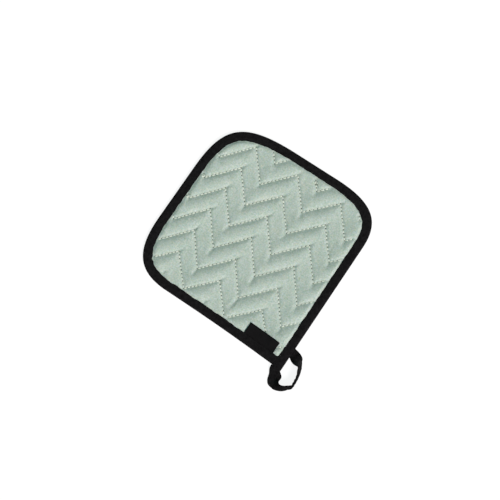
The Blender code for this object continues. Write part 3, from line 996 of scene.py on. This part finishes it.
def loop_frames():
    """For each cut across the loop: its middle, its directions, its half sizes, its
    place along the loop and how free it is to crease."""
    rows = smooth_sections(LOOP_SECTIONS, LOOP_STEPS)
    lengths = run_lengths(np.array([(row.x, row.y) for row in rows]))
    frames = []
    for row, along in zip(rows, lengths):
        to_end = lengths[-1] - along
        thick = loop_thickness(along, to_end)
        free = min(along / LOOP_SETTLES, to_end / LOOP_SETTLES, 1.0)
        tilt, heading = radians(row.tilt), radians(row.heading)
        left = np.array((-sin(heading), cos(heading), 0.0))
        across = left * cos(tilt) + np.array((0.0, 0.0, sin(tilt)))
        up = np.array((0.0, 0.0, cos(tilt))) - left * sin(tilt)
        height = 0.5 * (row.width * sin(tilt) + thick * cos(tilt))
        frames.append(LoopFrame(np.array((row.x, row.y, height)), across, up, 0.5 * row.width,
                                0.5 * thick, along, free))
    return frames


def on_loop(frame, a, b):
    """A point of the loop, `a` across the tape and `b` up from its middle."""
    raised = b + frame.free * loop_rise(frame.along, a, frame.half)
    return frame.centre + frame.across * a + frame.up * raised


def loop_ring(half, thick):
    """The folded tape cut across, its outside and then its slit."""
    lower = [(share * half + on, -up * thick) for share, on, up in LOOP_HALF_RING]
    ring = lower + [(half, 0.0)] + [(a, -b) for a, b in reversed(lower)]
    slit = max(thick - LOOP_PLY, THINNEST_SLIT)
    inside = [(share * half + on, slit) for share, on in SLIT_HALF]
    return ring + inside + [(a, -b) for a, b in reversed(inside)]


def build_loop(material):
    sections = []
    for frame in loop_frames():
        places = [on_loop(frame, a, b) for a, b in loop_ring(frame.half, frame.thick)]
        sections.append([(x, y, max(z, LOWEST)) for x, y, z in places])
    sections = np.array(sections)
    along = run_lengths(sections.mean(axis=1))
    item = swept("loop_tape", sections, along, material)
    # Painted highlights and shadows along the loop, for the tape's material.
    painted_light = sum(painted_patch.amount * np.exp(-((along - painted_patch.along) / painted_patch.half_length) ** 2)
               for painted_patch in LOOP_PAINTED_LIGHT)
    add_attribute(item, "painted_light", np.repeat(painted_light, sections.shape[1]))
    return item


def loop_seams():
    """The needle holes along the loop's open edge, on its two sides, and the ways out."""
    seams = []
    for side in (1.0, -1.0):
        path = []
        for frame in loop_frames():
            place = on_loop(frame, SEAM_IN - frame.half, side * LOOP_SEAM_OUT * frame.thick)
            if place[2] > LOWEST + BINDING_THREAD:
                path.append(np.concatenate([place, side * frame.up]))
        holes = evenly_along(np.array(path), BINDING_STITCH)
        seams.append((holes[:, :3], holes[:, 3:]))
    return seams


# --- the label ---

LABEL_THICKNESS = 0.75
LABEL_COLUMNS = 64
LABEL_ROWS = 24
LABEL_SPAN = 1.2            # it rests on the highest cloth within this distance
LABEL_SMOOTHING = 40        # rounds of smoothing
LABEL_CLEARANCE = 0.22      # above the cloth
LABEL_PAST = 0.12           # its last row in sight ends this far before the binding
LABEL_TUCKED = (0.17, 1.0)  # its further rows, under the binding
TUCKED_CLEAR = 0.02         # how far over the cloth they lie
TUCKED_TOP = 0.11           # how thin it is pressed there
BINDING_BRIM = 4.6          # the binding's inner edge, which holds it down
HEM_RISE = 0.16             # its free edge is folded under and a little thicker
HEM_ROW, HEM_ROWS = 1.5, 1.2
UNDER_ROUNDED = (-0.15, 0.2)    # how far its free edge is rounded out and up below
OVER_ROUNDED = (-0.1, -0.2)     # and out and down above


def label_outline():
    plan = label_plan()
    return np.array([plan[0, 0], plan[-1, 0], plan[-1, -1], plan[0, -1]])


def label_plan():
    """The label's plan, from its free edge down to the binding, column by column."""
    turn = radians(LABEL_TURN)
    plan = []
    for column in range(LABEL_COLUMNS + 1):
        aside = LABEL_WIDTH * (column / LABEL_COLUMNS - 0.5)
        free = np.array((LABEL_X + aside * cos(turn), LABEL_Y + aside * sin(turn)))
        tucked = np.array((free[0], binding_edge_at(free[0]) + LABEL_PAST))
        places = [free + (tucked - free) * n / LABEL_ROWS for n in range(LABEL_ROWS + 1)]
        plan.append(places + [tucked - (0.0, further) for further in LABEL_TUCKED])
    return np.array(plan)


def binding_edge_at(x):
    """The height on the plan of the binding's inner edge along the front side."""
    front = BINDING_EDGE[(BINDING_EDGE[:, 1] < FRONT_SIDE_Y) & (BINDING_EDGE[:, 0] < FRONT_END)]
    front = front[np.argsort(front[:, 0])]
    return np.interp(x, front[:, 0], front[:, 1])


def build_label(tree, material):
    plan = label_plan()
    around = [(LABEL_SPAN * cos(k * pi / 4.0), LABEL_SPAN * sin(k * pi / 4.0)) for k in range(8)]
    around.append((0.0, 0.0))
    carried = np.array([[max(height_on(tree, x + dx, y + dy) or 0.0 for dx, dy in around)
                         for x, y in column] for column in plan]) + LABEL_CLEARANCE
    height = carried.copy()
    for _ in range(LABEL_SMOOTHING):
        padded = np.pad(height, 1, mode="edge")
        mean = (padded[:-2, 1:-1] + padded[2:, 1:-1] + padded[1:-1, :-2] + padded[1:-1, 2:]) / 4.0
        height = np.maximum(mean, carried)
    height[:, LABEL_ROWS] = np.minimum(height[:, LABEL_ROWS], BINDING_BRIM)
    height[:, LABEL_ROWS + 1:] = TUCKED + TUCKED_CLEAR
    rows = plan.shape[1]
    thick = LABEL_THICKNESS + HEM_RISE * np.exp(-((np.arange(rows) - HEM_ROW) / HEM_ROWS) ** 2)
    thick[LABEL_ROWS + 1:] = TUCKED_TOP
    under = np.dstack([plan, height])
    over = np.dstack([plan, height + thick])
    under[:, 0, 1:] += UNDER_ROUNDED
    over[:, 0, 1:] += OVER_ROUNDED
    rings = np.concatenate([under, over[:, ::-1]], axis=1)
    faces = loft_faces(len(rings), 2 * rows)
    item = object_from("label_cloth", rings.reshape(-1, 3), faces, material)
    add_uv_map(item, "label", np.concatenate([plan, plan[:, ::-1]], axis=1).reshape(-1, 2))
    return item


# --- materials ---

def add_node(tree, kind, inputs, output=0, **settings):
    """One node; an input that is a socket is linked, any other is its value."""
    node = tree.nodes.new("ShaderNode" + kind)
    for key, value in settings.items():
        setattr(node, key, value)
    for key, value in inputs.items():
        if isinstance(value, bpy.types.NodeSocket):
            tree.links.new(value, node.inputs[key])
        else:
            node.inputs[key].default_value = value
    return node.outputs[output]


class Shading:
    """A material put together node by node around one Principled shader."""

    def __init__(self, name, roughness, specular, sheen=0.0, sheen_roughness=0.5):
        self.material = bpy.data.materials.new(name)
        self.material.use_nodes = True
        self.tree = self.material.node_tree
        self.shader = self.tree.nodes["Principled BSDF"]
        self.shader.inputs["Roughness"].default_value = roughness
        self.shader.inputs["Specular IOR Level"].default_value = specular
        self.shader.inputs["Sheen Weight"].default_value = sheen
        self.shader.inputs["Sheen Roughness"].default_value = sheen_roughness

    def add(self, kind, inputs, output=0, **settings):
        return add_node(self.tree, kind, inputs, output, **settings)

    def math(self, operation, a, b=0.0):
        return self.add("Math", {0: a, 1: b}, operation=operation)

    def vector(self, operation, a, b):
        return self.add("VectorMath", {0: a, 1: b}, operation=operation)

    def scaled(self, vector, scale):
        return self.add("VectorMath", {0: vector, "Scale": scale}, operation="SCALE")

    def split(self, vector):
        """The x, y and z of a vector."""
        return self.add("SeparateXYZ", {0: vector}).node.outputs

    def attribute(self, name):
        return self.add("Attribute", {}, output="Fac", attribute_name=name)

    def noise(self, place, size, detail=2.0):
        """Noise about 0 whose blots are some millimetres across."""
        raw = self.add("TexNoise", {"Vector": place, "Scale": 1.0 / size, "Detail": detail})
        return self.math("SUBTRACT", raw, 0.5)

    def tint(self, place, size, amount):
        """A factor about 1 for one colour channel."""
        return self.math("ADD", self.math("MULTIPLY", self.noise(place, size, 1.0), amount), 1.0)

    def ribs(self, length, pitch):
        return self.math("SINE", self.math("MULTIPLY", length, 2.0 * pi / pitch))

    def sum(self, *weighted):
        """The sum of pairs of a socket and its weight."""
        total = None
        for socket, weight in weighted:
            term = self.math("MULTIPLY", socket, weight)
            total = term if total is None else self.math("ADD", total, term)
        return total

    def blend(self, share, first, second):
        return self.add("Mix", {0: share, 6: first, 7: second}, output=2, data_type="RGBA")

    def colour(self, share, dark, light):
        """Between two colours by a share about 0, from -0.5 to 0.5."""
        place = self.add("MapRange", {"Value": share, "From Min": -0.5, "From Max": 0.5})
        return self.blend(place, (*dark, 1.0), (*light, 1.0))

    def finish(self, colour, relief, depth):
        bump = self.add("Bump", {"Height": relief, "Strength": 1.0, "Distance": depth * MM})
        self.tree.links.new(colour, self.shader.inputs["Base Color"])
        self.tree.links.new(bump, self.shader.inputs["Normal"])
        return self.material


def in_millimetres(shading):
    """Where a point of the surface is, in millimetres, as a vector and as x, y and z."""
    place = shading.scaled(shading.add("TexCoord", {}, output="Object"), 1.0 / MM)
    return place, shading.split(place)


def green_cotton():
    shading = Shading("green cotton", 0.95, 0.15, 0.12, 0.6)
    place, (x, y, _) = in_millimetres(shading)
    weave = shading.math("MULTIPLY", shading.ribs(x, 0.9), shading.ribs(y, 0.9))
    slubs = shading.noise(shading.vector("MULTIPLY", place, (0.25, 2.2, 1.0)), 1.0, 1.0)
    blots = shading.noise(place, 16.0)
    mottle = shading.noise(place, 2.6, 3.0)
    grain = shading.noise(place, 1.5, 1.0)
    share = shading.sum((blots, 0.25), (mottle, 0.35), (grain, 1.25), (weave, 0.05), (slubs, 0.2))
    cloth = shading.colour(share, (0.236, 0.326, 0.260), (0.490, 0.542, 0.498))
    red = shading.tint(shading.vector("ADD", place, (0.0, 0.0, 40.0)), 1.6, 0.42)
    blue = shading.tint(shading.vector("ADD", place, (0.0, 0.0, 80.0)), 1.6, 0.50)
    hue = shading.add("CombineXYZ", {0: red, 1: 1.0, 2: blue})
    cloth = shading.vector("MULTIPLY", cloth, hue)
    # Painted shade: the cloth turns near-black round each needle hole.
    hole_shade_mark = shading.attribute("needle_hole_shade")
    hole = shading.add("MapRange", {"Value": hole_shade_mark, "From Min": 0.42, "From Max": 0.72})
    colour = shading.blend(hole, cloth, (0.050, 0.058, 0.036, 1.0))
    relief = shading.sum((weave, 0.30), (grain, 0.8), (mottle, 0.9))
    return shading.finish(colour, relief, 0.10)


def twisted_thread(shading, pitch, blot, mottled, ribbed, dark, light):
    """Sewing thread whose twist comes round every `pitch`."""
    place, (x, y, z) = in_millimetres(shading)
    twist = shading.ribs(shading.sum((x, 1.0), (y, 0.6), (z, 1.0)), pitch)
    share = shading.sum((shading.noise(place, blot), mottled), (twist, ribbed))
    return shading.finish(shading.colour(share, dark, light), twist, 0.04)


def green_thread():
    return twisted_thread(Shading("green thread", 0.5, 0.5, 0.1), 0.55, 1.5, 0.7, 0.25,
                          (0.50, 0.56, 0.47), (0.78, 0.82, 0.70))


def black_thread():
    return twisted_thread(Shading("black thread", 0.7, 0.08), 0.5, 1.4, 0.5, 0.3,
                          (0.005, 0.005, 0.0053), (0.011, 0.011, 0.0115))


def black_tape():
    shading = Shading("black cotton tape", 0.92, 0.0, 0.006, 0.4)
    place, _ = in_millimetres(shading)
    along, across, _ = shading.split(shading.add("UVMap", {}, uv_map="tape"))
    bias = shading.ribs(shading.sum((along, 1.0), (across, 1.0)), 0.8)
    counter = shading.ribs(shading.sum((along, 1.0), (across, -1.0)), 0.8)
    weave = shading.math("MULTIPLY", bias, counter)
    mottle = shading.noise(place, 4.0)
    grain = shading.noise(place, 1.6, 1.0)
    lint = shading.noise(place, 0.6, 1.0)
    share = shading.sum((mottle, 1.1), (grain, 0.95), (lint, 0.3), (weave, 0.06))
    colour = shading.colour(share, (0.0036, 0.0034, 0.0036), (0.0140, 0.0135, 0.0140))
    # The loop's painted highlights and shadows scale the tape's colour.
    colour = shading.scaled(colour, shading.math("ADD", shading.attribute("painted_light"), 1.0))
    relief = shading.sum((weave, 0.5), (lint, 0.6))
    return shading.finish(colour, relief, 0.10)


def black_label():
    shading = Shading("black woven label", 0.85, 0.0, 0.006)
    place, _ = in_millimetres(shading)
    along, across, _ = shading.split(shading.add("UVMap", {}, uv_map="label"))
    ribs = shading.ribs(across, 0.55)
    threads = shading.math("MULTIPLY", ribs, shading.ribs(along, 0.5))
    mottle = shading.noise(place, 3.0)
    share = shading.sum((ribs, 0.15), (threads, 0.15), (mottle, 0.5))
    colour = shading.colour(share, (0.0058, 0.0056, 0.0058), (0.0096, 0.0092, 0.0096))
    return shading.finish(colour, shading.sum((ribs, 0.5), (threads, 0.3)), 0.08)


def white_table():
    shading = Shading("white table", 0.9, 0.1)
    place, _ = in_millimetres(shading)
    shade = shading.noise(place, 60.0)
    colour = shading.colour(shade, (0.125, 0.125, 0.125), (0.130, 0.130, 0.130))
    shading.shader.inputs["Emission Color"].default_value = (1.0, 1.0, 1.0, 1.0)
    shading.shader.inputs["Emission Strength"].default_value = TABLE_GLOW
    return shading.finish(colour, shade, 0.01)


# --- the stage ---

TABLE_HALF = 3.0            # metres
TABLE_DROP = 0.1            # how far under the part it lies
TABLE_GLOW = 0.89           # it shines a little, so that it shows as plain white


def build_stage():
    floor = bpy.data.meshes.new("floor")
    half = TABLE_HALF
    floor.from_pydata([(-half, -half, 0), (half, -half, 0), (half, half, 0), (-half, half, 0)],
                      [], [(0, 1, 2, 3)])
    floor.materials.append(white_table())
    item = new_object("floor", floor)
    item.location.z = -TABLE_DROP * MM


def build_camera():
    data = bpy.data.cameras.new("camera")
    data.lens = LENS
    data.sensor_width = SENSOR
    camera = new_object("camera", data)
    camera.location = (VIEW_X * MM, VIEW_Y * MM, VIEW_WIDTH * MM * LENS / SENSOR)
    camera.rotation_euler = (0.0, 0.0, radians(PHOTO_TURN))
    bpy.context.scene.camera = camera


KEY_AZIMUTH = radians(-18.0)
KEY_ELEVATION = radians(49.0)
KEY_STRENGTH = 4.14
KEY_COLOUR = (1.0, 0.878, 0.902)
KEY_SOFTNESS = radians(24.0)
FILL_COLOUR = (0.122, 0.270, 0.248)
HORIZON_COLOUR = (0.84, 0.86, 0.86)
HORIZON_FROM = 0.16         # the sine of the height at which the pale horizon starts to fade
HORIZON_TO = 0.45


def build_light():
    lamp = bpy.data.lights.new("key", "SUN")
    lamp.angle = KEY_SOFTNESS
    lamp.energy = KEY_STRENGTH
    lamp.color = KEY_COLOUR
    key = new_object("key", lamp)
    towards = Vector((cos(KEY_AZIMUTH) * cos(KEY_ELEVATION), sin(KEY_AZIMUTH) * cos(KEY_ELEVATION),
                      sin(KEY_ELEVATION)))
    key.rotation_euler = towards.to_track_quat("Z", "Y").to_euler()
    world = bpy.data.worlds.new("soft white room")
    world.use_nodes = True
    tree = world.node_tree
    place = add_node(tree, "TexCoord", {}, output="Generated")
    upward = add_node(tree, "MapRange", {
        "Value": add_node(tree, "SeparateXYZ", {0: place}, output="Z"),
        "From Min": HORIZON_FROM, "From Max": HORIZON_TO})
    colour = add_node(tree, "Mix", {
        0: upward, 6: (*HORIZON_COLOUR, 1.0), 7: (*FILL_COLOUR, 1.0)}, output=2, data_type="RGBA")
    tree.links.new(colour, tree.nodes["Background"].inputs["Color"])
    bpy.context.scene.world = world
    bpy.context.scene.view_settings.view_transform = "Standard"


# --- the scene ---

build_camera()
build_light()
build_stage()

pad = build_pad(green_cotton())
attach(pad, "root")
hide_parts("quilted_pad")

pad_tree = surface_tree(pad)
quilting_thread = green_thread()
for name, from_above in (("quilting_thread", True), ("quilting_thread_below", False)):
    stitches = stitched(name, seam_runs(), pad_tree, from_above, THREAD_RADIUS, quilting_thread)
    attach(stitches, "root")

tape_finish = black_tape()
thread_finish = black_thread()
binding = build_binding(tape_finish)
binding_tree = surface_tree(binding)
binding_threads = [
    stitched(name, [binding_seam()], binding_tree, from_above, BINDING_THREAD, thread_finish)
    for name, from_above in (("binding_thread", True), ("binding_thread_below", False))]
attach(binding, "root")
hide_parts("edge_binding")

loop = build_loop(tape_finish)
loop_thread = sewn_through("loop_thread", loop_seams(), BINDING_THREAD, thread_finish)
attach(loop, "root")
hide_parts("hanging_loop")

label = build_label(pad_tree, black_label())
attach(label, "root")
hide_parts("label")

for stitches in (*binding_threads, loop_thread):
    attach(stitches, "root")
